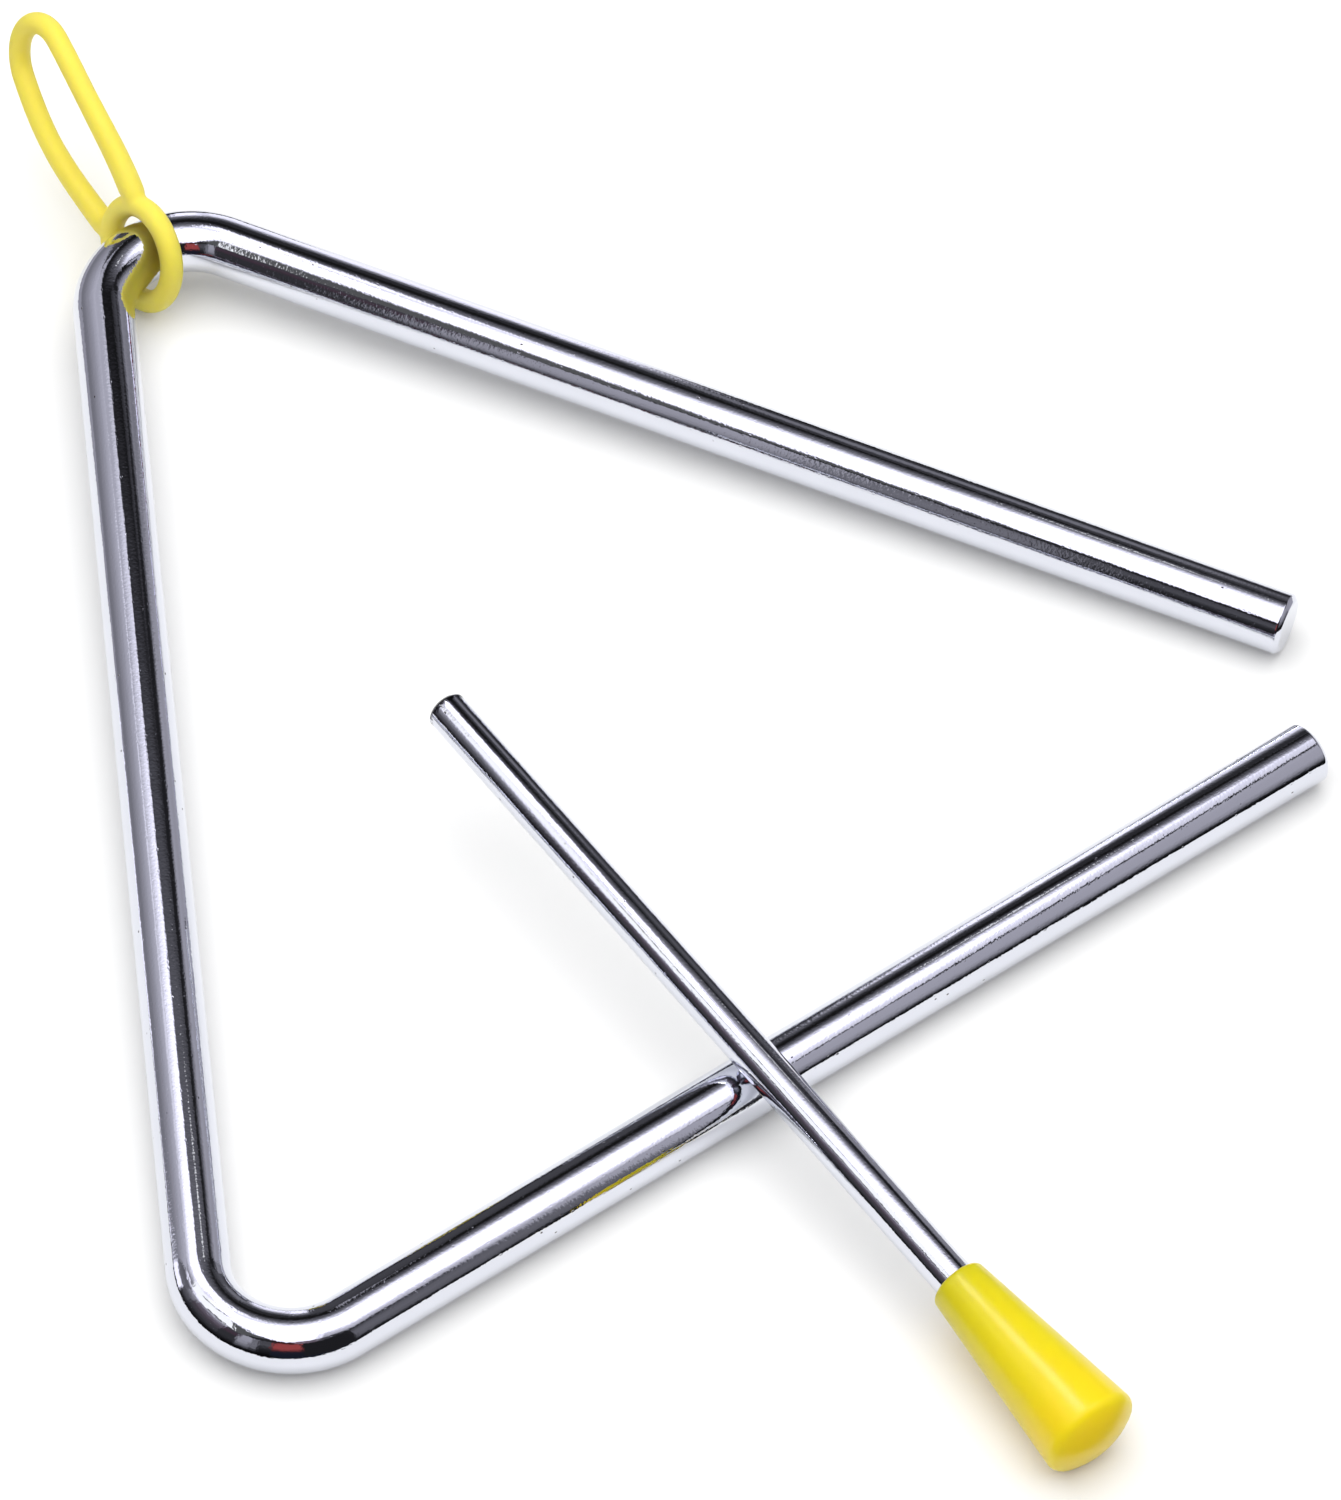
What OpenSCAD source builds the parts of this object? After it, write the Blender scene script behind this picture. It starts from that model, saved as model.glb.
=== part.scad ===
// Triangle instrument with its finger loop and beater, lying on a table as photographed.
// Millimetres, +Z up. The bottom leg runs along X, and the hanging corner points along +Y.
// The origin lies on the table, under the middle of the whole object.

/* [Triangle bar] */
// Diameter of the round steel bar
rod_d = 8; // [6:0.5:12]
// Length of one side, measured over the outside of the bends
side_l = 178; // [150:1:250]
// Bend radius at the middle of the bar
bend_r = 11.2; // [9:0.2:16]
// How far both ends of the bar stop short of the open corner
open_back = 19.6; // [14:0.2:40]
// Size of the chamfer on the ends of the bar
end_chamfer = 0.6; // [0.3:0.1:1.2]

/* [Finger loop] */
// Thickness of the small ring round the bar
ring_t = 3; // [2.4:0.1:4]
// How much wider the hole of the ring is than the bar
ring_play = 1.8; // [1.6:0.1:4]
// Thickness of the two strands of the finger loop
strand_t = 2.9; // [2:0.1:2.9]
// Width of the finger loop over its strands
loop_w = 14.8; // [13:0.2:24]
// Length from the middle of the ring to the far end of the loop
loop_l = 35.4; // [30:0.2:60]
// Lean of the ring from square across the bar
ring_lean = 17; // [0:1:18]
// Angle by which the loop rises off the table
loop_rise = 23; // [0:1:60]

/* [Beater] */
// Diameter of the beater's steel rod
beater_d = 5.2; // [4:0.1:7]
// Length of the whole beater
beater_l = 130; // [115:1:200]
// Size of the chamfer on the ends of the beater's rod
tip_chamfer = 0.5; // [0.2:0.1:1]

/* [Beater grip] */
// Length of the plastic grip
grip_l = 27.7; // [24:0.1:45]
// Diameter of the grip where the rod enters
grip_small_d = 7.3; // [7.1:0.1:9]
// Largest diameter of the grip
grip_big_d = 12.6; // [11:0.1:16]
// Radius of the edge where the rod enters
grip_edge_r = 0.6; // [0.2:0.1:0.7]
// Radius of the rim round the domed end
grip_rim_r = 1.2; // [0.6:0.1:1.8]
// Height of the domed end above the middle of that rim
grip_dome_h = 2.6; // [2:0.1:4]
// Depth of the blind hole for the rod
grip_bore_l = 20; // [12:0.5:22]

/* [Pose on the table] */
// Where the beater crosses the bottom leg, from the leg's middle towards the closed corner
cross_x = 13.6; // [0:0.2:40]
// Length of the beater's rod from its tip to the crossing
cross_tip = 62.2; // [45:0.2:80]
// Turn of the beater from straight across the bottom leg
beater_turn = 1.2; // [-20:0.2:20]

/* [Hidden] */
$fn = 96;

// Air between pieces that lie on each other
seat_gap = 0.2;
// How much thinner the hole of the grip is than the rod pressed into it
press_bite = 0.04;
// Overrun of a cut past the face it opens
cut_over = 1;
// How far a leg or strand runs into the bend that it joins, as a share of the bend's radius
bite_share = 0.05;
// How much thicker a bend is than the leg or strand that it joins, as a share of its thickness
swell_share = 0.02;
// Angle between neighbouring points of a turned outline's arcs
arc_angle = 6;

// The bar's middle line is an equilateral triangle with rounded corners
corner_half = 180 / 3 / 2;
rod_r = rod_d / 2;
corner_run = bend_r / tan(corner_half);
bend_bite = bend_r * bite_share;
bend_t = rod_d * (1 + swell_share);
bar_z = bend_t / 2;
side_c = side_l - rod_d + 2 * (corner_run - bend_r);
circ_r = side_c / 2 / cos(corner_half);
in_r = circ_r * sin(corner_half);
bend_at = circ_r - bend_r / sin(corner_half);
bend_turn = 180 - 2 * corner_half;
hung_dir = 3 * corner_half;
closed_dir = 7 * corner_half;

// The ring stands on the table round the bend of the hanging corner, which lifts that corner
ring_r = (rod_d + ring_play + ring_t) / 2;
ring_z = ring_r * cos(ring_lean) + ring_t / 2;
apex_r = bend_at + bend_r;
bar_tilt = asin((ring_z - bar_z) / (apex_r + in_r));
apex_y = (apex_r + in_r) * cos(bar_tilt) - in_r;

// Each strand is an arc from the ring's middle line to the round far end, widest part way along
join_angle = 38;
widest_share = 0.6;
strand_r = strand_t / 2;
half_w = loop_w / 2 - strand_r;
reach = loop_l - strand_r;
join_p = ring_r * [cos(join_angle), sin(join_angle)];
widest_x = reach * widest_share;
bow_r = ((widest_x - join_p.x) ^ 2 + (half_w - join_p.y) ^ 2) / 2 / (half_w - join_p.y);
end_run = reach - widest_x;
far_r = (bow_r ^ 2 - (bow_r - half_w) ^ 2 - end_run ^ 2) / 2 / (bow_r - end_run);
far_x = reach - far_r;
bow_y = half_w - bow_r;
far_half = atan2(-bow_y, far_x - widest_x);
join_dir = atan2(join_p.y - bow_y, join_p.x - widest_x);
far_t = strand_t * (1 + swell_share);
bow_from = far_half - far_r * bite_share / bow_r * 180 / PI;

// The beater's rod lies on the bottom leg and its grip's rim on the table
beater_r = beater_d / 2;
rod_show = beater_l - grip_l;
rim_x = grip_l - grip_dome_h;
rim_y = grip_big_d / 2 - grip_rim_r;
cross_z = bar_z + rod_r + seat_gap + beater_r;
cross_to_rim = rod_show - cross_tip + rim_x;
beater_slope = asin((cross_z - grip_rim_r) / norm([cross_to_rim, rim_y])) - atan2(rim_y, cross_to_rim);

// The grip's outline: an edge arc, a cone that touches it and the rim arc, and the dome
edge_y = grip_small_d / 2 - grip_edge_r;
side_a = atan2(rim_y - edge_y, rim_x - grip_edge_r)
    + asin((grip_rim_r - grip_edge_r) / norm([rim_x - grip_edge_r, rim_y - edge_y]));
dome_r = (grip_dome_h ^ 2 + rim_y ^ 2 - grip_rim_r ^ 2) / 2 / (grip_dome_h - grip_rim_r);
dome_x = grip_l - dome_r;
dome_a = atan2(rim_y, rim_x - dome_x);

// The box round everything, with the triangle's middle at zero, gives the origin
x_low = -(bend_at * cos(corner_half) + bend_r + bar_z);
x_high = side_c / 2 - (open_back + end_chamfer) * sin(corner_half) + rod_r * cos(corner_half);
y_low = -in_r - (rod_show - cross_tip + dome_x) * cos(beater_slope) * cos(beater_turn) - dome_r;
y_high = apex_y + far_x * cos(loop_rise) + far_r + far_t / 2;
mid = [(x_low + x_high) / 2, (y_low + y_high) / 2, 0];

// Points along an arc in the plane
function arc(centre, r, a0, a1) = let (n = ceil(abs(a1 - a0) / arc_angle))
    [for (i = [0:n]) centre + r * [cos(a0 + (a1 - a0) * i / n), sin(a0 + (a1 - a0) * i / n)]];

// One bend of a round bar, in the XY plane, from angle a0 over a turn
module bent(r, thick, a0, turn) {
    rotate([0, 0, a0]) rotate_extrude(angle = turn, $fn = 72) translate([r, 0]) circle(d = thick, $fn = 32);
}

// A straight round bar along +X from the origin, with a chamfer on its far end
module leg(l, d, chamfer = 0) {
    rotate([0, 90, 0]) {
        cylinder(d = d, h = l - chamfer);
        if (chamfer > 0) translate([0, 0, l - chamfer]) cylinder(d1 = d, d2 = d - 2 * chamfer, h = chamfer);
    }
}

// A leg from a corner of the triangle, at an angle, that bites into the bends at its ends
module side(at, angle, l, chamfer = 0) {
    translate(circ_r * [cos(at), sin(at), 0]) rotate([0, 0, angle])
        translate([corner_run - bend_bite, 0, 0]) leg(l, rod_d, chamfer);
}

module bar_flat() {
    for (a = [hung_dir, closed_dir])
        translate(bend_at * [cos(a), sin(a), 0])
            bent(bend_r, bend_t, a - bend_turn / 2, bend_turn);
    side(hung_dir, -2 * corner_half, side_c - corner_run + bend_bite - open_back, end_chamfer);
    side(closed_dir, 0, side_c - corner_run + bend_bite - open_back, end_chamfer);
    side(closed_dir, 2 * corner_half, side_c - 2 * (corner_run - bend_bite));
}

module triangle_bar() {
    color([0.80, 0.81, 0.84])
        translate([0, -in_r, bar_z] - mid) rotate([bar_tilt, 0, 0]) translate([0, in_r, 0]) bar_flat();
}

// Ring and finger loop in the XY plane, the loop's length along +X
module loop_flat() {
    rotate_extrude($fn = 64) translate([ring_r, 0]) circle(d = ring_t, $fn = 32);
    translate([far_x, 0, 0]) bent(far_r, far_t, -far_half, 2 * far_half);
    for (half = [0, 1]) mirror([0, half, 0])
        translate([widest_x, bow_y, 0]) bent(bow_r, strand_t, bow_from, join_dir - bow_from);
}

module hanger_loop() {
    color([0.96, 0.88, 0.20])
        translate([0, apex_y, ring_z] - mid) rotate([0, ring_lean - 90, 0])
            rotate([0, 0, 90 - loop_rise]) loop_flat();
}

// Puts a piece that lies along +X from the beater's tip where the beater lies
module as_beater() {
    translate([-cross_x, -in_r, cross_z] - mid) rotate([0, 0, beater_turn - 90])
        rotate([0, beater_slope, 0]) translate([-cross_tip, 0, 0]) children();
}

module beater_rod() {
    color([0.80, 0.81, 0.84]) as_beater() {
        translate([tip_chamfer, 0, 0]) rotate([0, -90, 0])
            cylinder(d1 = beater_d, d2 = beater_d - 2 * tip_chamfer, h = tip_chamfer);
        translate([tip_chamfer, 0, 0]) leg(rod_show + grip_bore_l - tip_chamfer, beater_d, tip_chamfer);
    }
}

module grip_outline() {
    polygon(concat(
        [[0, 0]],
        arc([grip_edge_r, edge_y], grip_edge_r, 180, 90 + side_a),
        arc([rim_x, rim_y], grip_rim_r, 90 + side_a, dome_a),
        arc([dome_x, 0], dome_r, dome_a, 0)
    ));
}

module beater_grip() {
    color([0.95, 0.87, 0.14]) as_beater() translate([rod_show, 0, 0]) difference() {
        rotate([0, 90, 0]) rotate_extrude() mirror([1, -1, 0]) grip_outline();
        translate([-cut_over, 0, 0]) rotate([0, 90, 0])
            cylinder(d = beater_d - press_bite, h = grip_bore_l + cut_over);
    }
}

triangle_bar();
hanger_loop();
beater_rod();
beater_grip();
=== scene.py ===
"""A chromed triangle with its moulded finger loop and its beater, as they lie on a table.

All places are in metres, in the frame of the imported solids: +Z up, the bottom leg along X,
the hanging corner towards +Y, the origin on the table under the middle of the whole object.
"""

import math

import bmesh
import bpy
from bpy.props import FloatProperty, FloatVectorProperty, PointerProperty
from mathutils import Matrix, Vector


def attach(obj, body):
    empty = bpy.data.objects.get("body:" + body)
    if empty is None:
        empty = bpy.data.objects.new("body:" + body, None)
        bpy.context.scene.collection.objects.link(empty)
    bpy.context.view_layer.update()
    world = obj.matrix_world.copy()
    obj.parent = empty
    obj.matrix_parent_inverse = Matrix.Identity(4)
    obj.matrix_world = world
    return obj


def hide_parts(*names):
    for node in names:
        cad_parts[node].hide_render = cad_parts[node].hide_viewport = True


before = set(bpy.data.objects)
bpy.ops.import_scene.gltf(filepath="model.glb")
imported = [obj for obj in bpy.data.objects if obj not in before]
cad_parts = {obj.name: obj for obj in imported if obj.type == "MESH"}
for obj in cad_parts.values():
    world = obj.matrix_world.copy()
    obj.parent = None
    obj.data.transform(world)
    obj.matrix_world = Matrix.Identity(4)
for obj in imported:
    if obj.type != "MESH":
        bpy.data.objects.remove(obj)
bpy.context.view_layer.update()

bl_info = {
    "name": "Triangle Instrument",
    "version": (1, 0, 0),
    "blender": (4, 5, 0),
    "location": "3D View > Sidebar > Triangle",
    "description": "Builds a chromed triangle, its finger loop and its beater",
    "category": "Object",
}

MM = 0.001
UP = Vector((0, 0, 1))
ALL_ROUND = 2 * math.pi
# Half the angle of a corner, the turn of a bend, and where the corner that hangs in the loop
# and the closed one stand as seen from the triangle's middle
CORNER_HALF = math.pi / 6
BEND_TURN = math.pi - 2 * CORNER_HALF
HUNG_CORNER = 3 * CORNER_HALF
CLOSED_CORNER = 7 * CORNER_HALF

# The solids' bends are this share thicker than their legs, and the bar lies on its bends
SWELL_SHARE = 0.02
# Air between the beater's rod and the bar, and how much narrower the grip's bore is than the rod
SEAT_GAP = 0.2 * MM
PRESS_BITE = 0.04 * MM
# Where round the ring the strands leave it, and how far along the loop is widest
JOIN_ANGLE = math.radians(38)
WIDEST_SHARE = 0.6

# Steps round a bar, round its bends, round the ring, along each arc of the loop and along
# the grip's edge, side, rim and dome
ROUND = 96
BEND_STEPS = 60
RING_STEPS = 120
STRAND_STEPS = 48
EDGE_STEPS = 8
SIDE_STEPS = 24
RIM_STEPS = 12
DOME_STEPS = 24
# Softness of a chamfer's edges and the rim left round its cap, as shares of the chamfer
SOFT_SHARE = 0.28
SOFT_STEPS = 3
CAP_RIM_SHARE = 0.2
# Faces of the loop's melted skin, the reach and number of the rubs that make its fillets,
# the rubs all over it, and the share of the way to its neighbours that a rub moves a point
LOOP_GRAIN = 0.16 * MM
FILLET_RUBS = ((3.6 * MM, 6), (2.9 * MM, 8), (2.3 * MM, 8))
SKIN_RUBS = 3
RUB_SHARE = 0.5
# Points nearer to each other than this are one point
NO_GAP = 0.001 * MM

# Depth of the marks on the chrome and the plastic, and how far from the rod's tip its scuffs and the
# dark reflection painted on its chamfer reach
CHROME_RELIEF = 0.05 * MM
PLASTIC_RELIEF = 0.0003 * MM
TIP_SCUFF_AND_PAINTED_RIM_REACH = 1.5 * MM
SPECK_COLOUR = (0.10, 0.09, 0.09)
# Colour of the scuffs near the rod's tip, also painted on its chamfer as a dark reflection
SCUFF_AND_PAINTED_RIM_COLOUR = (0.04, 0.04, 0.045)
# Roughness of clean chrome, what clouds and specks add to it, and what marks add to plastic
CHROME_HAZE = 0.012
CLOUD_HAZE = 0.055
SPECK_HAZE = 0.3
MARK_HAZE = 0.12
# What each channel keeps where the colour drifts darkest
CHROME_DRIFT = (0.93, 0.93, 0.93)
PLASTIC_DRIFT = (0.97, 0.93, 0.8)
# How far red, green and blue light spreads inside plastic, as shares of the depth given with
# the colour, and the share of the light that does
PLASTIC_SPREAD = (1.0, 0.92, 0.10)
PLASTIC_DEPTH_SHARE = 0.8

# The table top: its paleness to the light and to the eye, and its own glow, which rises to
# white between two distances from the middle
TABLE_RADIUS = 4.0
TABLE_STEPS = 64
TABLE_PALE = 0.8
TABLE_WHITE = 0.9
TABLE_GLOW = 0.10
TABLE_NEAR = 0.22
TABLE_FAR = 0.8
# The overhead softbox, and the round tent that stands for it and for the room in the chrome,
# with a dark lip just over the table
SOFTBOX_SIDE = 1.6
SOFTBOX_BACK = 0.02
SOFTBOX_HEIGHT = 0.9
SOFTBOX_TURN = math.radians(-22.5)
TENT_RADIUS = 1.0
TENT_STEPS = 128
TENT_STRENGTH = 0.914
LIP_RADIUS = 0.13
LIP_HEIGHT = 0.3 * MM
# Half width in degrees of the soft edges between the tent's wall panels
PANEL_BLUR = 2.0
# Width of the camera's frame in millimetres
FRAME_WIDTH = 36
# Places of the colour sockets on a mix node
MIX_LOW = 6
MIX_HIGH = 7
MIX_RESULT = 2


class TriangleBarSizes(bpy.types.PropertyGroup):
    """Sizes of the bent steel bar."""

    bar_diameter: FloatProperty(
        name="Bar diameter", description="Diameter of the round steel bar",
        default=8 * MM, min=0, unit="LENGTH", subtype="DISTANCE")
    side_length: FloatProperty(
        name="Side length", description="Length of one side over the outside of the bends",
        default=178 * MM, min=0, unit="LENGTH", subtype="DISTANCE")
    bend_radius: FloatProperty(
        name="Bend radius", description="Bend radius at the middle of the bar",
        default=11.2 * MM, min=0, unit="LENGTH", subtype="DISTANCE")
    open_back: FloatProperty(
        name="Open corner", description="How far both ends stop short of the open corner",
        default=19.6 * MM, min=0, unit="LENGTH", subtype="DISTANCE")
    end_chamfer: FloatProperty(
        name="End chamfer", description="Size of the chamfer on the ends of the bar",
        default=0.6 * MM, min=0, unit="LENGTH", subtype="DISTANCE")
    chrome: FloatVectorProperty(
        name="Chrome", description="Reflection colour of the chrome plating",
        default=(0.700, 0.715, 0.780), min=0, max=1, size=3, subtype="COLOR")


class FingerLoopSizes(bpy.types.PropertyGroup):
    """Sizes of the moulded ring and finger loop."""

    ring_thickness: FloatProperty(
        name="Ring thickness", description="Thickness of the small ring round the bar",
        default=3 * MM, min=0, unit="LENGTH", subtype="DISTANCE")
    ring_play: FloatProperty(
        name="Ring play", description="How much wider the ring's hole is than the bar",
        default=1.8 * MM, min=0, unit="LENGTH", subtype="DISTANCE")
    strand_thickness: FloatProperty(
        name="Strand thickness", description="Thickness of the two strands of the loop",
        default=2.9 * MM, min=0, unit="LENGTH", subtype="DISTANCE")
    loop_width: FloatProperty(
        name="Loop width", description="Width of the finger loop over its strands",
        default=14.8 * MM, min=0, unit="LENGTH", subtype="DISTANCE")
    loop_length: FloatProperty(
        name="Loop length", description="From the ring's middle to the loop's far end",
        default=35.4 * MM, min=0, unit="LENGTH", subtype="DISTANCE")
    ring_lean: FloatProperty(
        name="Ring lean", description="Lean of the ring from square across the bar",
        default=math.radians(17), unit="ROTATION", subtype="ANGLE")
    loop_rise: FloatProperty(
        name="Loop rise", description="Angle by which the loop rises off the table",
        default=math.radians(23), unit="ROTATION", subtype="ANGLE")
    root_swell: FloatProperty(
        name="Root swell", description="How much thicker the strands grow towards the ring",
        default=0.4 * MM, min=0, unit="LENGTH", subtype="DISTANCE")
    sideways_bow: FloatProperty(
        name="Sideways bow", description="How far the loop bows out of its own plane",
        default=0.73 * MM, unit="LENGTH", subtype="DISTANCE")
    rubber: FloatVectorProperty(
        name="Loop yellow", description="Colour of the moulded loop",
        default=(0.945, 0.81, 0.13), min=0, max=1, size=3, subtype="COLOR")


class BeaterSizes(bpy.types.PropertyGroup):
    """Sizes of the beater's rod and grip, and where the beater lies."""

    rod_diameter: FloatProperty(
        name="Rod diameter", description="Diameter of the beater's steel rod",
        default=5.2 * MM, min=0, unit="LENGTH", subtype="DISTANCE")
    beater_length: FloatProperty(
        name="Beater length", description="Length of the whole beater",
        default=130 * MM, min=0, unit="LENGTH", subtype="DISTANCE")
    tip_chamfer: FloatProperty(
        name="Tip chamfer", description="Size of the chamfer on the ends of the rod",
        default=0.5 * MM, min=0, unit="LENGTH", subtype="DISTANCE")
    grip_length: FloatProperty(
        name="Grip length", description="Length of the plastic grip",
        default=27.7 * MM, min=0, unit="LENGTH", subtype="DISTANCE")
    grip_small: FloatProperty(
        name="Grip's small end", description="Diameter of the grip where the rod enters",
        default=7.3 * MM, min=0, unit="LENGTH", subtype="DISTANCE")
    grip_big: FloatProperty(
        name="Grip's big end", description="Largest diameter of the grip",
        default=12.6 * MM, min=0, unit="LENGTH", subtype="DISTANCE")
    edge_radius: FloatProperty(
        name="Edge radius", description="Radius of the edge where the rod enters",
        default=0.6 * MM, min=0, unit="LENGTH", subtype="DISTANCE")
    rim_radius: FloatProperty(
        name="Rim radius", description="Radius of the rim round the domed end",
        default=1.2 * MM, min=0, unit="LENGTH", subtype="DISTANCE")
    dome_height: FloatProperty(
        name="Dome height", description="Height of the domed end above the middle of its rim",
        default=2.6 * MM, min=0, unit="LENGTH", subtype="DISTANCE")
    bore_depth: FloatProperty(
        name="Bore depth", description="Depth of the blind hole for the rod",
        default=20 * MM, min=0, unit="LENGTH", subtype="DISTANCE")
    crossing: FloatProperty(
        name="Crossing", description="From the bottom leg's middle towards the closed corner",
        default=13.6 * MM, unit="LENGTH", subtype="DISTANCE")
    tip_reach: FloatProperty(
        name="Tip reach", description="Length of the rod from its tip to the crossing",
        default=62.2 * MM, min=0, unit="LENGTH", subtype="DISTANCE")
    turn: FloatProperty(
        name="Turn", description="Turn of the beater from straight across the bottom leg",
        default=math.radians(1.2), unit="ROTATION", subtype="ANGLE")
    plastic: FloatVectorProperty(
        name="Grip yellow", description="Colour of the moulded grip",
        default=(0.99, 0.71, 0.012), min=0, max=1, size=3, subtype="COLOR")


class StudioSettings(bpy.types.PropertyGroup):
    """Camera and light of the table-top studio."""

    lens: FloatProperty(
        name="Lens", description="Focal length in millimetres on a 36 mm frame",
        default=236.58, min=1)
    distance: FloatProperty(
        name="Camera distance", description="From the camera to the point that it looks at",
        default=1.23392, min=0, unit="LENGTH", subtype="DISTANCE")
    azimuth: FloatProperty(
        name="Camera azimuth", description="Direction of the camera from +X",
        default=math.radians(-126.941), unit="ROTATION", subtype="ANGLE")
    elevation: FloatProperty(
        name="Camera elevation", description="Height of the camera above the horizon",
        default=math.radians(52.434), unit="ROTATION", subtype="ANGLE")
    roll: FloatProperty(
        name="Camera roll", description="Turn of the camera about its own axis",
        default=math.radians(0.754), unit="ROTATION", subtype="ANGLE")
    target: FloatVectorProperty(
        name="Target", description="The point that the camera looks at",
        default=(12.083 * MM, -8.295 * MM, 0), size=3, unit="LENGTH", subtype="TRANSLATION")
    fill: FloatProperty(
        name="Fill light", description="Strength of the soft light from all round",
        default=0.12, min=0)
    softbox: FloatProperty(
        name="Softbox", description="Brightness of the overhead softbox, where 1 is white",
        default=2.2, min=0)


class TriangleSettings(bpy.types.PropertyGroup):
    """All that a user may change."""

    bar: PointerProperty(type=TriangleBarSizes)
    loop: PointerProperty(type=FingerLoopSizes)
    beater: PointerProperty(type=BeaterSizes)
    studio: PointerProperty(type=StudioSettings)


class Layout:
    """Places of the pieces, worked out from the sizes as the solids' own source does."""

    def __init__(self, settings):
        bar, loop, beater = settings.bar, settings.loop, settings.beater
        self.bar_r = bar.bar_diameter / 2
        self.bend_r = bar.bend_radius
        self.corner_run = self.bend_r / math.tan(CORNER_HALF)
        self.side = bar.side_length - bar.bar_diameter + 2 * (self.corner_run - self.bend_r)
        self.corner_r = self.side / 2 / math.cos(CORNER_HALF)
        self.middle_r = self.corner_r * math.sin(CORNER_HALF)
        self.bend_at = self.corner_r - self.bend_r / math.sin(CORNER_HALF)
        self.leg_end = self.side - bar.open_back
        self.bar_z = self.bar_r * (1 + SWELL_SHARE)

        self.ring_r = (bar.bar_diameter + loop.ring_play + loop.ring_thickness) / 2
        self.ring_z = self.ring_r * math.cos(loop.ring_lean) + loop.ring_thickness / 2
        hung = self.bend_at + self.bend_r + self.middle_r
        self.tilt = math.asin((self.ring_z - self.bar_z) / hung)
        self.ring_y = hung * math.cos(self.tilt) - self.middle_r

        strand_r = loop.strand_thickness / 2
        half_w = loop.loop_width / 2 - strand_r
        reach = loop.loop_length - strand_r
        self.join = Vector((math.cos(JOIN_ANGLE), math.sin(JOIN_ANGLE), 0)) * self.ring_r
        self.widest_x = reach * WIDEST_SHARE
        across = half_w - self.join.y
        self.bow_r = ((self.widest_x - self.join.x) ** 2 + across ** 2) / 2 / across
        end_run = reach - self.widest_x
        spare = self.bow_r ** 2 - (self.bow_r - half_w) ** 2 - end_run ** 2
        self.far_r = spare / 2 / (self.bow_r - end_run)
        self.far_x = reach - self.far_r
        self.bow_y = half_w - self.bow_r
        self.far_half = math.atan2(-self.bow_y, self.far_x - self.widest_x)
        self.join_dir = math.atan2(self.join.y - self.bow_y, self.join.x - self.widest_x)

        self.rod_r = beater.rod_diameter / 2
        self.rod_show = beater.beater_length - beater.grip_length
        self.rim_x = beater.grip_length - beater.dome_height
        self.rim_y = beater.grip_big / 2 - beater.rim_radius
        self.cross_z = self.bar_z + self.bar_r + SEAT_GAP + self.rod_r
        run = self.rod_show - beater.tip_reach + self.rim_x
        self.slope = math.asin((self.cross_z - beater.rim_radius) / math.hypot(run, self.rim_y))
        self.slope -= math.atan2(self.rim_y, run)
        self.edge_y = beater.grip_small / 2 - beater.edge_radius
        step = Vector((self.rim_x - beater.edge_radius, self.rim_y - self.edge_y))
        swell = (beater.rim_radius - beater.edge_radius) / step.length
        self.side_angle = math.atan2(step.y, step.x) + math.asin(swell)
        self.dome_r = (beater.dome_height ** 2 + self.rim_y ** 2 - beater.rim_radius ** 2) / 2
        self.dome_r /= beater.dome_height - beater.rim_radius
        self.dome_x = beater.grip_length - self.dome_r
        self.dome_angle = math.atan2(self.rim_y, self.rim_x - self.dome_x)

        low_x = -(self.bend_at * math.cos(CORNER_HALF) + self.bend_r + self.bar_z)
        high_x = self.side / 2 - (bar.open_back + bar.end_chamfer) * math.sin(CORNER_HALF)
        high_x += self.bar_r * math.cos(CORNER_HALF)
        beyond = (self.rod_show - beater.tip_reach + self.dome_x) * math.cos(self.slope)
        low_y = -self.middle_r - beyond * math.cos(beater.turn) - self.dome_r
        high_y = self.ring_y + self.far_x * math.cos(loop.loop_rise) + self.far_r
        high_y += strand_r * (1 + SWELL_SHARE)
        self.middle = Vector(((low_x + high_x) / 2, (low_y + high_y) / 2, 0))

        self.bar_place = (
            Matrix.Translation(Vector((0, -self.middle_r, self.bar_z)) - self.middle)
            @ Matrix.Rotation(self.tilt, 4, "X")
            @ Matrix.Translation((0, self.middle_r, 0)))
        self.loop_place = (
            Matrix.Translation(Vector((0, self.ring_y, self.ring_z)) - self.middle)
            @ Matrix.Rotation(loop.ring_lean - math.pi / 2, 4, "Y")
            @ Matrix.Rotation(math.pi / 2 - loop.loop_rise, 4, "Z"))
        self.beater_place = (
            Matrix.Translation(
                Vector((-beater.crossing, -self.middle_r, self.cross_z)) - self.middle)
            @ Matrix.Rotation(beater.turn - math.pi / 2, 4, "Z")
            @ Matrix.Rotation(self.slope, 4, "Y")
            @ Matrix.Translation((-beater.tip_reach, 0, 0)))


def heading(angle):
    """Unit step in the table's plane."""
    return Vector((math.cos(angle), math.sin(angle), 0))


def start_ring(bm, radius, at, facing):
    """A ring of edges of a round bar, square to the way that the bar runs."""
    ring = bmesh.ops.create_circle(bm, segments=ROUND, radius=radius)["verts"]
    place = Matrix.Translation(at) @ facing.to_track_quat("Z", "Y").to_matrix().to_4x4()
    bmesh.ops.transform(bm, matrix=place, verts=ring)
    return [edge for edge in bm.edges if edge.verts[0] in ring]


def draw_out(bm, ring, step):
    """Extrudes a ring of edges along a straight step and gives the new ring."""
    made = bmesh.ops.extrude_edge_only(bm, edges=ring)["geom"]
    verts = {item for item in made if isinstance(item, bmesh.types.BMVert)}
    bmesh.ops.translate(bm, verts=list(verts), vec=step)
    return [item for item in made if isinstance(item, bmesh.types.BMEdge)
            and item.verts[0] in verts and item.verts[1] in verts]


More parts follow.
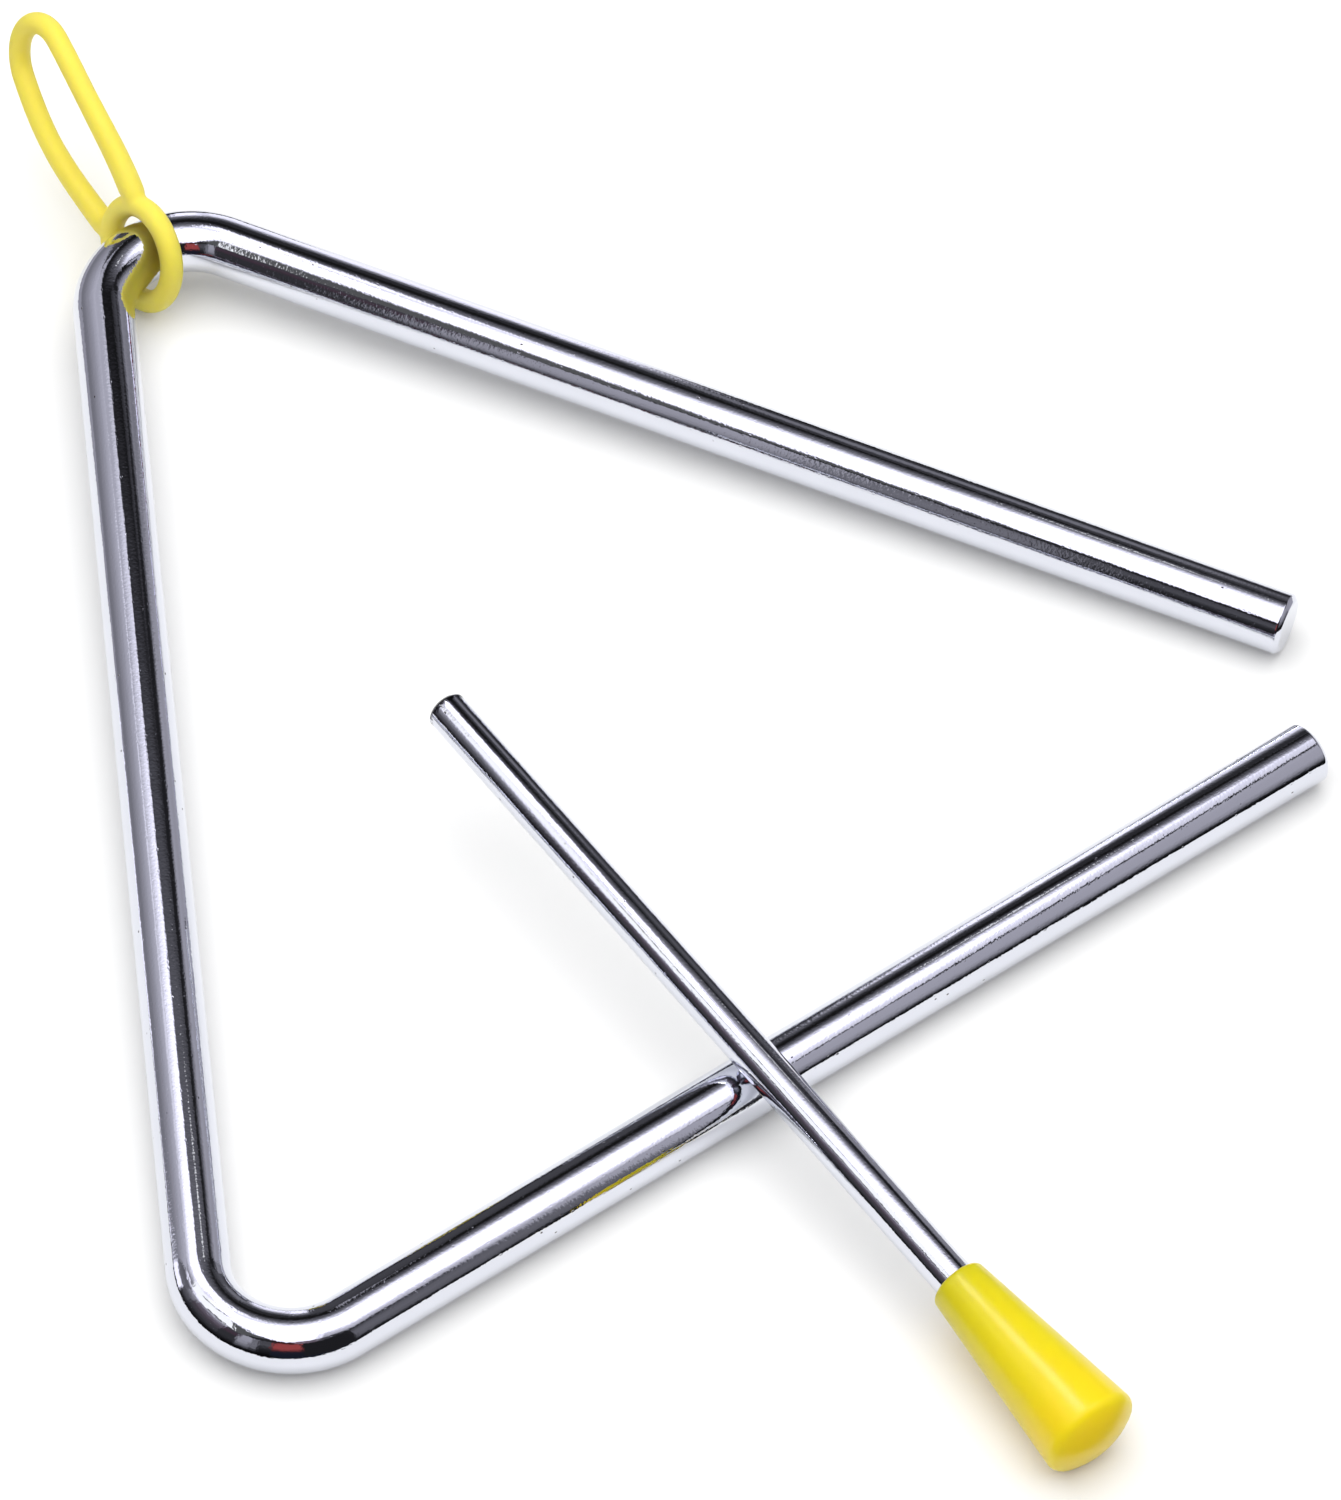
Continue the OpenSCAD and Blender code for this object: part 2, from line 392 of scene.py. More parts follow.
def bend_round(bm, ring, centre, axis, angle, steps):
    """Spins a ring of edges round a bend and gives the last ring."""
    last = bmesh.ops.spin(bm, geom=ring, cent=centre, axis=axis, angle=angle,
                          steps=steps, use_merge=False)["geom_last"]
    return [item for item in last if isinstance(item, bmesh.types.BMEdge)]


def shrink_ring(bm, ring, share):
    """Scales a ring of edges about its own middle."""
    verts = list({vert for edge in ring for vert in edge.verts})
    middle = sum((vert.co for vert in verts), Vector()) / len(verts)
    bmesh.ops.scale(bm, vec=(share, share, share), verts=verts,
                    space=Matrix.Translation(-middle))


def close_end(bm, ring, outward, radius, chamfer):
    """Chamfers the open end of a round bar, softens both edges and closes it."""
    tip = draw_out(bm, ring, outward * chamfer)
    shrink_ring(bm, tip, (radius - chamfer) / radius)
    bmesh.ops.contextual_create(bm, geom=tip)
    bmesh.ops.bevel(bm, geom=ring + tip, offset=chamfer * SOFT_SHARE, offset_type="OFFSET",
                    segments=SOFT_STEPS, profile=0.5, affect="EDGES", material=-1)
    caps = [face for face in bm.faces if len(face.verts) == ROUND]
    bmesh.ops.inset_region(bm, faces=caps[-1:], thickness=chamfer * CAP_RIM_SHARE, depth=0)


def put_in_scene(name, bm):
    """Turns a bmesh into an object of the scene."""
    mesh = bpy.data.meshes.new(name)
    bm.to_mesh(mesh)
    bm.free()
    made = bpy.data.objects.new(name, mesh)
    bpy.context.scene.collection.objects.link(made)
    return made


def finish_piece(name, bm, place, material, body, node, flow):
    """Turns a bmesh into a smooth piece for its solid, with the places that its finish follows."""
    bmesh.ops.remove_doubles(bm, verts=bm.verts, dist=NO_GAP)
    bmesh.ops.recalc_face_normals(bm, faces=bm.faces)
    layer = bm.verts.layers.float_vector.new("flow")
    for vert in bm.verts:
        vert[layer] = flow(vert.co)
    bmesh.ops.transform(bm, matrix=place, verts=bm.verts)
    for face in bm.faces:
        face.smooth = True
    piece = put_in_scene(name, bm)
    piece.data.materials.append(material)
    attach(piece, body)
    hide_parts(node)


def melt_together(bm, grain):
    """Joins the closed shells of a bmesh into one skin of small even faces."""
    bmesh.ops.recalc_face_normals(bm, faces=bm.faces)
    lump = put_in_scene("melt", bm)
    melt = lump.modifiers.new("melt", "REMESH")
    melt.mode = "VOXEL"
    melt.voxel_size = grain
    depsgraph = bpy.context.evaluated_depsgraph_get()
    melted = bpy.data.meshes.new_from_object(lump.evaluated_get(depsgraph))
    bm = bmesh.new()
    bm.from_mesh(melted)
    bpy.data.meshes.remove(melted)
    mesh = lump.data
    bpy.data.objects.remove(lump)
    bpy.data.meshes.remove(mesh)
    return bm


def add_node(tree, kind, values=None, **settings):
    """Adds a shader node with its settings and the values of its sockets."""
    made = tree.nodes.new(kind)
    for key, value in settings.items():
        setattr(made, key, value)
    for key, value in (values or {}).items():
        made.inputs[key].default_value = value
    return made


def math_node(tree, operation, *inputs):
    """A math node on sockets or numbers, and its result."""
    made = add_node(tree, "ShaderNodeMath", operation=operation)
    for index, item in enumerate(inputs):
        if isinstance(item, (int, float)):
            made.inputs[index].default_value = item
        else:
            tree.links.new(item, made.inputs[index])
    return made.outputs[0]


def smooth_range(tree, value, low, high):
    """Nought below low, one above high and smooth between; low may be the larger."""
    made = add_node(tree, "ShaderNodeMapRange", interpolation_type="SMOOTHSTEP")
    flip = low > high
    made.inputs["From Min"].default_value = min(low, high)
    made.inputs["From Max"].default_value = max(low, high)
    made.inputs["To Min"].default_value = 1 if flip else 0
    made.inputs["To Max"].default_value = 0 if flip else 1
    tree.links.new(value, made.inputs["Value"])
    return made.outputs["Result"]


def soft_window(tree, value, low, high, soft):
    """One between low and high with soft edges."""
    inside = smooth_range(tree, value, low - soft, low + soft)
    return math_node(tree, "MULTIPLY", inside,
                     smooth_range(tree, value, high + soft, high - soft))


def within(tree, *edges):
    """One inside all the edges; each is a value, where it still is nought and where it is full."""
    whole = 1.0
    for value, nought, full in edges:
        whole = math_node(tree, "MULTIPLY", whole, smooth_range(tree, value, nought, full))
    return whole


def as_colour(item):
    """The three channels of a colour or of a grey given as one number."""
    return (item, item, item) if isinstance(item, (int, float)) else tuple(item)


def blend_colours(tree, factor, low, high, blend="MIX"):
    """A mix node on sockets, colours or greys, and its result."""
    made = add_node(tree, "ShaderNodeMix", data_type="RGBA", blend_type=blend)
    for slot, item in (("Factor", factor), (MIX_LOW, low), (MIX_HIGH, high)):
        if isinstance(item, bpy.types.NodeSocket):
            tree.links.new(item, made.inputs[slot])
        elif slot == "Factor":
            made.inputs[slot].default_value = item
        else:
            made.inputs[slot].default_value = (*as_colour(item), 1)
    return made.outputs[MIX_RESULT]


def split_colour(tree, colour):
    """The three channels of a colour."""
    parts = add_node(tree, "ShaderNodeSeparateColor")
    tree.links.new(colour, parts.inputs[0])
    return parts.outputs


def ramp(tree, value, stops, span=1.0, start=0.0):
    """A colour ramp with its stops at places between start and start + span."""
    made = add_node(tree, "ShaderNodeValToRGB")
    share = math_node(tree, "DIVIDE", math_node(tree, "SUBTRACT", value, start), span)
    tree.links.new(share, made.inputs["Fac"])
    points = made.color_ramp.elements
    while len(points) < len(stops):
        points.new(1.0)
    for point, (place, colour) in zip(points, stops):
        point.position = (place - start) / span
        point.color = (*as_colour(colour), 1)
    return made.outputs["Color"]


def stretched(tree, source, stretch):
    """The source's vector with each axis scaled by its own factor."""
    made = add_node(tree, "ShaderNodeVectorMath", {1: stretch}, operation="MULTIPLY")
    tree.links.new(source, made.inputs[0])
    return made.outputs[0]


def noise(tree, place, scale, detail=2.0, rough=0.5):
    """A noise texture's height at a place."""
    made = add_node(tree, "ShaderNodeTexNoise",
                    {"Scale": scale, "Detail": detail, "Roughness": rough})
    tree.links.new(place, made.inputs["Vector"])
    return made.outputs["Fac"]


def pits(tree, place, scale, size, share):
    """Round spots of one size at a share of the cells of a grid: one in a spot, else nought."""
    cells = add_node(tree, "ShaderNodeTexVoronoi", {"Scale": scale, "Randomness": 1.0})
    tree.links.new(place, cells.inputs["Vector"])
    spot = smooth_range(tree, cells.outputs["Distance"], low=size, high=size * 0.5)
    pick = split_colour(tree, cells.outputs["Color"])[0]
    return math_node(tree, "MULTIPLY", spot, math_node(tree, "LESS_THAN", pick, share))


def drifting(tree, cloud, colour, drift):
    """A colour that darkens a little in clouds, by what each channel keeps."""
    darkest = [channel * kept for channel, kept in zip(colour, drift)]
    return blend_colours(tree, cloud, darkest, colour)


def raise_marks(tree, shader, height, relief):
    """Bumps a shader's surface by a height, of which one stands for the relief."""
    bump = add_node(tree, "ShaderNodeBump", {"Strength": 1.0, "Distance": relief})
    tree.links.new(height, bump.inputs["Height"])
    tree.links.new(bump.outputs["Normal"], shader.inputs["Normal"])


def bare_tree(holder, kind):
    """The emptied node tree of a material or a world, and its new output node."""
    holder.use_nodes = True
    tree = holder.node_tree
    tree.nodes.clear()
    return tree, add_node(tree, kind)


def blank_material(name):
    """A material with a bare principled shader, its tree, its shader and its flow places."""
    material = bpy.data.materials.new(name)
    tree, output = bare_tree(material, "ShaderNodeOutputMaterial")
    shader = add_node(tree, "ShaderNodeBsdfPrincipled")
    tree.links.new(shader.outputs["BSDF"], output.inputs["Surface"])
    flow = add_node(tree, "ShaderNodeAttribute", attribute_name="flow").outputs["Vector"]
    return material, tree, shader, flow


def chrome_plate(name, colour, scuff_and_painted_rim_reach=0.0):
    """Bright chrome plating over drawn steel, with specks and pits; given a reach, tip scuffs and a
    painted dark reflection on the tip's chamfer.
    """
    material, tree, shader, flow = blank_material(name)
    link = tree.links.new
    shader.inputs["Metallic"].default_value = 1
    cloud = noise(tree, flow, scale=90.0, detail=4.0)
    specks = pits(tree, stretched(tree, flow, (0.6, 1, 1)), scale=900.0, size=0.13, share=0.12)
    grain = pits(tree, stretched(tree, flow, (0.5, 1, 1)), scale=2600.0, size=0.36, share=0.30)
    tint = drifting(tree, cloud, colour, CHROME_DRIFT)
    tint = blend_colours(tree, specks, tint, SPECK_COLOUR)
    if scuff_and_painted_rim_reach:
        axes = add_node(tree, "ShaderNodeSeparateXYZ")
        link(flow, axes.inputs[0])
        from_tip = axes.outputs[0]
        near_tip = smooth_range(tree, from_tip, low=scuff_and_painted_rim_reach, high=scuff_and_painted_rim_reach * 0.5)
        # A dark reflection painted on the chamfer at the very tip
        painted_rim_reflection = smooth_range(tree, from_tip, low=scuff_and_painted_rim_reach * 0.42, high=scuff_and_painted_rim_reach * 0.34)
        patchy = noise(tree, flow, scale=1300.0, detail=3.0, rough=0.7)
        flakes = smooth_range(tree, patchy, low=0.46, high=0.52)
        # The painted dark reflection on the chamfer and the scuffs near the tip, in one dark colour
        scuffs_and_painted_rim = math_node(tree, "MAXIMUM", painted_rim_reflection, math_node(tree, "MULTIPLY", near_tip, flakes))
        tint = blend_colours(tree, scuffs_and_painted_rim, tint, SCUFF_AND_PAINTED_RIM_COLOUR)
    link(tint, shader.inputs["Base Color"])
    haze = math_node(tree, "MULTIPLY_ADD", cloud, CLOUD_HAZE, CHROME_HAZE)
    haze = math_node(tree, "MULTIPLY_ADD", specks, SPECK_HAZE, haze)
    link(haze, shader.inputs["Roughness"])
    lines = noise(tree, stretched(tree, flow, (60, 2600, 2600)), scale=1.0, detail=3.0, rough=0.6)
    waves = noise(tree, stretched(tree, flow, (220, 420, 420)), scale=1.0)
    peel = noise(tree, flow, scale=2600.0, detail=1.0)
    height = 0.0
    for marks, share in ((lines, 0.12), (waves, 0.35), (peel, 0.16), (grain, -0.06), (specks, -0.3)):
        height = math_node(tree, "MULTIPLY_ADD", marks, share, height)
    raise_marks(tree, shader, height, CHROME_RELIEF)
    return material


def moulded_plastic(name, colour, matt, depth, grain):
    """Satin moulded plastic, lit through to a depth, with slight colour drift and fine marks."""
    material, tree, shader, flow = blank_material(name)
    cloud = noise(tree, flow, scale=150.0, detail=3.0)
    marks = noise(tree, stretched(tree, flow, grain), scale=1.0, rough=0.6)
    tree.links.new(drifting(tree, cloud, colour, PLASTIC_DRIFT), shader.inputs["Base Color"])
    haze = math_node(tree, "MULTIPLY_ADD", marks, MARK_HAZE, matt)
    tree.links.new(haze, shader.inputs["Roughness"])
    shader.inputs["Subsurface Weight"].default_value = PLASTIC_DEPTH_SHARE
    shader.inputs["Subsurface Radius"].default_value = PLASTIC_SPREAD
    shader.inputs["Subsurface Scale"].default_value = depth
    raise_marks(tree, shader, marks, PLASTIC_RELIEF)
    return material


def flow_along_bar(layout, point):
    """Distance along the bent bar's middle line and the place on its round section."""
    straight = layout.side / 2 - layout.corner_run
    arc = layout.bend_r * BEND_TURN
    for index, corner in enumerate((HUNG_CORNER, CLOSED_CORNER)):
        beyond = point.xy - heading(corner).xy * layout.bend_at
        angle = -heading(corner).xy.angle_signed(beyond)
        if abs(angle) <= math.pi / 2 - CORNER_HALF:
            along = straight + arc / 2 + index * (2 * straight + arc) + layout.bend_r * angle
            return Vector((along, beyond.length - layout.bend_r, point.z))
    leg = max(range(3), key=lambda side: point.dot(heading(CORNER_HALF * (1 + 4 * side))))
    outward = CORNER_HALF * (1 + 4 * leg)
    along = point.dot(heading(outward + math.pi / 2)) + leg * (2 * straight + arc)
    return Vector((along, point.dot(heading(outward)) - layout.middle_r, point.z))


def build_bar(settings, layout):
    """The triangle's bar, drawn along its legs and spun round its two bends."""
    bm = bmesh.new()
    along_top = heading(HUNG_CORNER + CORNER_HALF)
    leg_run = layout.leg_end - settings.bar.end_chamfer - layout.corner_run
    start = heading(HUNG_CORNER) * layout.corner_r - along_top * (layout.corner_run + leg_run)
    first = start_ring(bm, layout.bar_r, start, along_top)
    ring = draw_out(bm, first, along_top * leg_run)
    ring = bend_round(bm, ring, heading(HUNG_CORNER) * layout.bend_at, UP, BEND_TURN, BEND_STEPS)
    along_left = heading(HUNG_CORNER + CORNER_HALF + BEND_TURN)
    ring = draw_out(bm, ring, along_left * (layout.side - 2 * layout.corner_run))
    ring = bend_round(bm, ring, heading(CLOSED_CORNER) * layout.bend_at, UP, BEND_TURN, BEND_STEPS)
    ring = draw_out(bm, ring, heading(0) * leg_run)
    close_end(bm, ring, heading(0), layout.bar_r, settings.bar.end_chamfer)
    first = [edge for edge in bm.edges if edge.is_boundary]
    close_end(bm, first, -along_top, layout.bar_r, settings.bar.end_chamfer)
    finish_piece("chromed_triangle", bm, layout.bar_place,
                 chrome_plate("chrome_plate", settings.bar.chrome),
                 "triangle", "triangle_bar",
                 lambda point: flow_along_bar(layout, point))


def swell_roots(bm, layout, loop):
    """Thickens both strands of the loop towards the ring."""
    for vert in bm.verts:
        short = (layout.widest_x - vert.co.x) / (layout.widest_x - layout.join.x)
        if short <= 0 or vert.co.xy.length < layout.ring_r + loop.ring_thickness / 2:
            continue
        side = 1 if vert.co.y > 0 else -1
        centre = Vector((layout.widest_x, side * layout.bow_y, 0))
        outward = vert.co - centre
        outward.z = 0
        middle = centre + outward.normalized() * layout.bow_r
        vert.co = middle + (vert.co - middle) * (1 + short * loop.root_swell / loop.strand_thickness)


def rub_smooth(bm, verts, times):
    """Rubs a skin smooth by moving its points towards their neighbours."""
    for _ in range(times):
        bmesh.ops.smooth_vert(bm, verts=verts, factor=RUB_SHARE, use_axis_x=True,
                              use_axis_y=True, use_axis_z=True)


def soften_joint(bm, layout):
    """Rubs fillets into the corners where the strands leave the ring."""
    joints = [layout.join, Vector((layout.join.x, -layout.join.y, 0))]
    for reach, times in FILLET_RUBS:
        near = [vert for vert in bm.verts
                if min((vert.co - joint).length for joint in joints) < reach]
        rub_smooth(bm, near, times)
    rub_smooth(bm, bm.verts, SKIN_RUBS)


def build_loop(settings, layout):
    """Ring and finger loop in one moulding, blended where the strands leave the ring."""
    loop = settings.loop
    bm = bmesh.new()
    ring = start_ring(bm, loop.ring_thickness / 2, heading(0) * layout.ring_r, heading(math.pi / 2))
    bmesh.ops.spin(bm, geom=ring, cent=(0, 0, 0), axis=UP, angle=ALL_ROUND,
                   steps=RING_STEPS, use_merge=True)
    bow = layout.join_dir - layout.far_half
    low = Vector((layout.widest_x, -layout.bow_y, 0))
    high = Vector((layout.widest_x, layout.bow_y, 0))
    strand = start_ring(bm, loop.strand_thickness / 2,
                        Vector((layout.join.x, -layout.join.y, 0)),
                        heading(math.pi / 2 - layout.join_dir))
    first = list(strand)
    strand = bend_round(bm, strand, low, UP, bow, STRAND_STEPS)
    strand = bend_round(bm, strand, heading(0) * layout.far_x, UP, 2 * layout.far_half,
                        STRAND_STEPS)
    strand = bend_round(bm, strand, high, UP, bow, STRAND_STEPS)
    bmesh.ops.contextual_create(bm, geom=strand)
    bmesh.ops.contextual_create(bm, geom=first)
    swell_roots(bm, layout, loop)
    bm = melt_together(bm, LOOP_GRAIN)
    soften_joint(bm, layout)
    for vert in bm.verts:
        share = (vert.co.x - layout.join.x) / (loop.loop_length - layout.join.x)
        if share > 0:
            vert.co.z += loop.sideways_bow * math.sin(math.pi * share) ** 2
    finish = moulded_plastic("loop_rubber", loop.rubber, matt=0.45, depth=2 * MM,
                             grain=(400, 400, 400))
    finish_piece("moulded_loop", bm, layout.loop_place, finish,
                 "hanger", "hanger_loop", lambda point: point)


def build_rod(settings, layout):
    """The beater's plated rod with its chamfered ends."""
    beater = settings.beater
    bm = bmesh.new()
    ahead = heading(0)
    start = ahead * beater.tip_chamfer
    run = layout.rod_show + beater.bore_depth - 2 * beater.tip_chamfer
    ring = draw_out(bm, start_ring(bm, layout.rod_r, start, ahead), ahead * run)
    close_end(bm, ring, ahead, layout.rod_r, beater.tip_chamfer)
    first = [edge for edge in bm.edges if edge.is_boundary]
    close_end(bm, first, -ahead, layout.rod_r, beater.tip_chamfer)
    finish_piece("plated_rod", bm, layout.beater_place,
                 chrome_plate("rod_plate", settings.bar.chrome, TIP_SCUFF_AND_PAINTED_RIM_REACH),
                 "beater", "beater_rod", lambda point: point)


def turn_arc(bm, vert, centre, angle, steps):
    """Carries an outline on round an arc and gives its last point."""
    last = bmesh.ops.spin(bm, geom=[vert], cent=centre, axis=UP, angle=angle, steps=steps,
                          use_merge=False)["geom_last"]
    return [item for item in last if isinstance(item, bmesh.types.BMVert)][0]


def draw_line(bm, vert, to):
    """Carries an outline on along a line and gives its last point."""
    made = bmesh.ops.extrude_vert_indiv(bm, verts=[vert])["verts"][0]
    made.co = to
    return made


def build_grip(settings, layout):
    """The turned outline of the grip, with its bore, its rim and its dome."""
    beater = settings.beater
    bm = bmesh.new()
    bore_r = layout.rod_r - PRESS_BITE / 2
    point = bm.verts.new((beater.bore_depth, 0, 0))
    point = draw_line(bm, point, (beater.bore_depth, bore_r, 0))
    point = draw_line(bm, point, (0, bore_r, 0))
    point = draw_line(bm, point, (0, layout.edge_y, 0))
    point = turn_arc(bm, point, (beater.edge_radius, layout.edge_y, 0),
                     -(math.pi / 2 - layout.side_angle), EDGE_STEPS)
    cone_start = point.co.copy()
    normal = heading(math.pi / 2 + layout.side_angle)
    cone_end = Vector((layout.rim_x, layout.rim_y, 0)) + normal * beater.rim_radius
    for step in range(SIDE_STEPS):
        point = draw_line(bm, point, cone_start.lerp(cone_end, (step + 1) / SIDE_STEPS))
    point = turn_arc(bm, point, (layout.rim_x, layout.rim_y, 0),
                     -(math.pi / 2 + layout.side_angle - layout.dome_angle), RIM_STEPS)
    point = turn_arc(bm, point, (layout.dome_x, 0, 0), -layout.dome_angle, DOME_STEPS)
    bmesh.ops.spin(bm, geom=bm.verts[:] + bm.edges[:], cent=(0, 0, 0), axis=(1, 0, 0),
                   angle=ALL_ROUND, steps=ROUND, use_merge=True)
    place = layout.beater_place @ Matrix.Translation((layout.rod_show, 0, 0))
    finish = moulded_plastic("grip_plastic", beater.plastic, matt=0.26, depth=7 * MM,
                             grain=(3600, 260, 260))
    finish_piece("turned_grip", bm, place, finish,
                 "beater", "beater_grip", lambda point: point)


def seen_first_hand(tree):
    """One for what the eye sees itself, through or in a shiny surface, else nought."""
    path = add_node(tree, "ShaderNodeLightPath")
    seen = math_node(tree, "MAXIMUM", path.outputs["Is Camera Ray"], path.outputs["Is Glossy Ray"])
    seen = math_node(tree, "MAXIMUM", seen, path.outputs["Is Transmission Ray"])
    unscattered = math_node(tree, "LESS_THAN", path.outputs["Diffuse Depth"], 0.5)
    return math_node(tree, "MULTIPLY", seen, unscattered)


def set_floor():
    """A pale table top that keeps the object's shadow and runs out into even white."""
    bm = bmesh.new()
    bmesh.ops.create_circle(bm, cap_ends=True, segments=TABLE_STEPS, radius=TABLE_RADIUS)
    floor = put_in_scene("table_top", bm)
    material = bpy.data.materials.new("table_white")
    tree, output = bare_tree(material, "ShaderNodeOutputMaterial")
    seen = seen_first_hand(tree)
    cloth = add_node(tree, "ShaderNodeBsdfDiffuse")
    tree.links.new(blend_colours(tree, seen, TABLE_PALE, TABLE_WHITE), cloth.inputs["Color"])
    place = add_node(tree, "ShaderNodeTexCoord").outputs["Object"]
    away = add_node(tree, "ShaderNodeVectorMath", operation="LENGTH")
    tree.links.new(place, away.inputs[0])
    far = smooth_range(tree, away.outputs["Value"], TABLE_NEAR, TABLE_FAR)
    level = math_node(tree, "MULTIPLY_ADD", far, 1 - TABLE_GLOW, TABLE_GLOW)
    glow = add_node(tree, "ShaderNodeEmission")
    tree.links.new(math_node(tree, "MULTIPLY", seen, level), glow.inputs["Strength"])
    both = add_node(tree, "ShaderNodeAddShader")
    tree.links.new(cloth.outputs[0], both.inputs[0])
    tree.links.new(glow.outputs[0], both.inputs[1])
    tree.links.new(both.outputs[0], output.inputs["Surface"])
    floor.data.materials.append(material)


def set_world(studio):
    """Even white all round to the eye and in reflections, and a soft fill light."""
    world = bpy.data.worlds.new("studio")
    bpy.context.scene.world = world
    tree, output = bare_tree(world, "ShaderNodeOutputWorld")
    white = (1, 1, 1, 1)
    fill = add_node(tree, "ShaderNodeBackground", {"Color": white, "Strength": studio.fill})
    backdrop = add_node(tree, "ShaderNodeBackground", {"Color": white, "Strength": 1.0})
    choose = add_node(tree, "ShaderNodeMixShader")
    tree.links.new(seen_first_hand(tree), choose.inputs[0])
    tree.links.new(fill.outputs[0], choose.inputs[1])
    tree.links.new(backdrop.outputs[0], choose.inputs[2])
    tree.links.new(choose.outputs[0], output.inputs["Surface"])


def set_camera(studio):
    """The camera at the photograph's place."""
    data = bpy.data.cameras.new("studio_camera")
    data.lens = studio.lens
    data.sensor_width = FRAME_WIDTH
    camera = bpy.data.objects.new("studio_camera", data)
    bpy.context.scene.collection.objects.link(camera)
    back = heading(studio.azimuth) * math.cos(studio.elevation) + UP * math.sin(studio.elevation)
    right = UP.cross(back).normalized()
    above = back.cross(right)
    turned = math.cos(studio.roll) * right + math.sin(studio.roll) * above
    above = math.cos(studio.roll) * above - math.sin(studio.roll) * right
    axes = Matrix((turned, above, back)).transposed().to_4x4()
    place = Vector(studio.target) + back * studio.distance
    camera.matrix_world = Matrix.Translation(place) @ axes
    bpy.context.scene.camera = camera


def set_softbox(studio):
    """The big softbox over the table."""
    data = bpy.data.lights.new("overhead_softbox", "AREA")
    data.shape = "SQUARE"
    data.size = SOFTBOX_SIDE
    data.energy = studio.softbox * math.pi * SOFTBOX_SIDE ** 2
    lamp = bpy.data.objects.new("overhead_softbox", data)
    bpy.context.scene.collection.objects.link(lamp)
    lamp.location = (-math.sin(SOFTBOX_TURN) * SOFTBOX_BACK,
                     math.cos(SOFTBOX_TURN) * SOFTBOX_BACK, SOFTBOX_HEIGHT)
    lamp.rotation_euler.z = SOFTBOX_TURN
    lamp.visible_camera = False
    lamp.visible_glossy = False


# Panels of the tent's wall: the bearings in degrees between which each hangs, and its
# brightness or colour by height over the table in metres
WALL_PANELS = [
    (-190, -166.5, [(0, 0.006), (0.12, 0.03), (0.24, 0.045), (0.45, 0.045),
                    (0.64, (0.080, 0.050, 0.062)), (0.90, 0.08)]),
    (-166.5, -156, [(0, 0.006), (0.10, 0.12), (0.29, 0.37), (0.50, 0.46), (0.90, 0.50)]),
    (-156, -150.5, [(0, 0.006), (0.10, 0.06), (0.25, 0.24), (0.50, 0.25), (0.90, 0.20)]),
    (-150.5, -141, [(0, 0.006), (0.30, 0.03), (0.42, 0.06), (0.57, 0.11), (0.90, 0.09)]),
    (-141, -119, [(0, (0.012, 0.016, 0.024)), (0.22, (0.02, 0.02, 0.03)),
                  (0.32, (0.10, 0.03, 0.03)), (0.45, (0.46, 0.085, 0.075)),
                  (0.80, (0.46, 0.085, 0.075)), (0.90, (0.15, 0.04, 0.04))]),
    (-80, -69, [(0, 0.006), (0.06, 0.03), (0.12, 0.15), (0.36, 0.19), (0.58, 0.17), (0.76, 0.09),
                (0.90, 0.03)]),
    (-69, -30, [(0, 0.006), (0.06, 0.03), (0.14, 0.22), (0.26, 0.42), (0.40, 0.52), (0.90, 0.55)]),
    (-32, 12.5, [(0, 0.50), (0.22, 0.44), (0.44, 0.50), (0.54, 0.35), (0.66, 0.16), (0.80, 0.02),
                 (0.90, 0.02)]),
    (12.5, 21, [(0, 0.35), (0.20, 0.32), (0.42, 0.34), (0.50, 0.14), (0.60, 0.02), (0.90, 0.02)]),
    (21, 30, [(0, 0.04), (0.14, 0.06), (0.43, 0.14), (0.72, 0.08), (0.90, 0.04)]),
    (30, 42, [(0, 0.02), (0.22, 0.06), (0.36, 0.24), (0.50, 0.26), (0.62, 0.10), (0.75, 0.05),
              (0.90, 0.06)]),
    (42, 56, [(0, 1.6), (0.20, 1.3), (0.28, 0.70), (0.36, 0.30), (0.48, 0.12), (0.60, 0.04),
              (0.90, 0.03)]),
    (56, 63, [(0, 1.6), (0.29, 1.6), (0.38, 0.50), (0.50, 0.20), (0.62, 0.12), (0.80, 0.03),
              (0.90, 0.03)]),
    (63, 77, [(0, 0.02), (0.16, 0.06), (0.26, 0.09), (0.64, 0.08), (0.90, 0.05)]),
    (77, 123, [(0, 0.45), (0.04, 0.27), (0.16, 0.27), (0.35, 0.37), (0.53, 0.46), (0.75, 0.60),
               (0.90, 0.68)]),
    (123, 141, [(0, 1.6), (0.26, 1.6), (0.32, 0.25), (0.50, 0.18), (0.68, 0.17), (0.76, 0.50),
                (0.83, 1.20), (0.90, 1.50)]),
    (141, 152, [(0, 0.02), (0.10, 0.05), (0.20, 0.10), (0.35, 0.14), (0.47, 0.24), (0.57, 0.34),
                (0.68, 0.50), (0.80, 1.20), (0.90, 1.50)]),
    (152, 190, [(0, 0.012), (0.08, 0.03), (0.20, 0.06), (0.46, (0.105, 0.088, 0.095)),
                (0.68, (0.22, 0.19, 0.21)), (0.82, 0.45), (0.90, 0.90)]),
]
# Colour across the dark front of the ceiling, from the left to the right
CEILING_FRONT = [(-1.0, 0.03), (-0.45, 0.03), (-0.36, (0.055, 0.014, 0.014)),
                 (-0.24, (0.055, 0.014, 0.014)), (-0.18, (0.30, 0.17, 0.19)),
                 (0.0, (0.22, 0.17, 0.19)), (0.2, 0.08), (0.45, 0.03), (1.0, 0.02)]
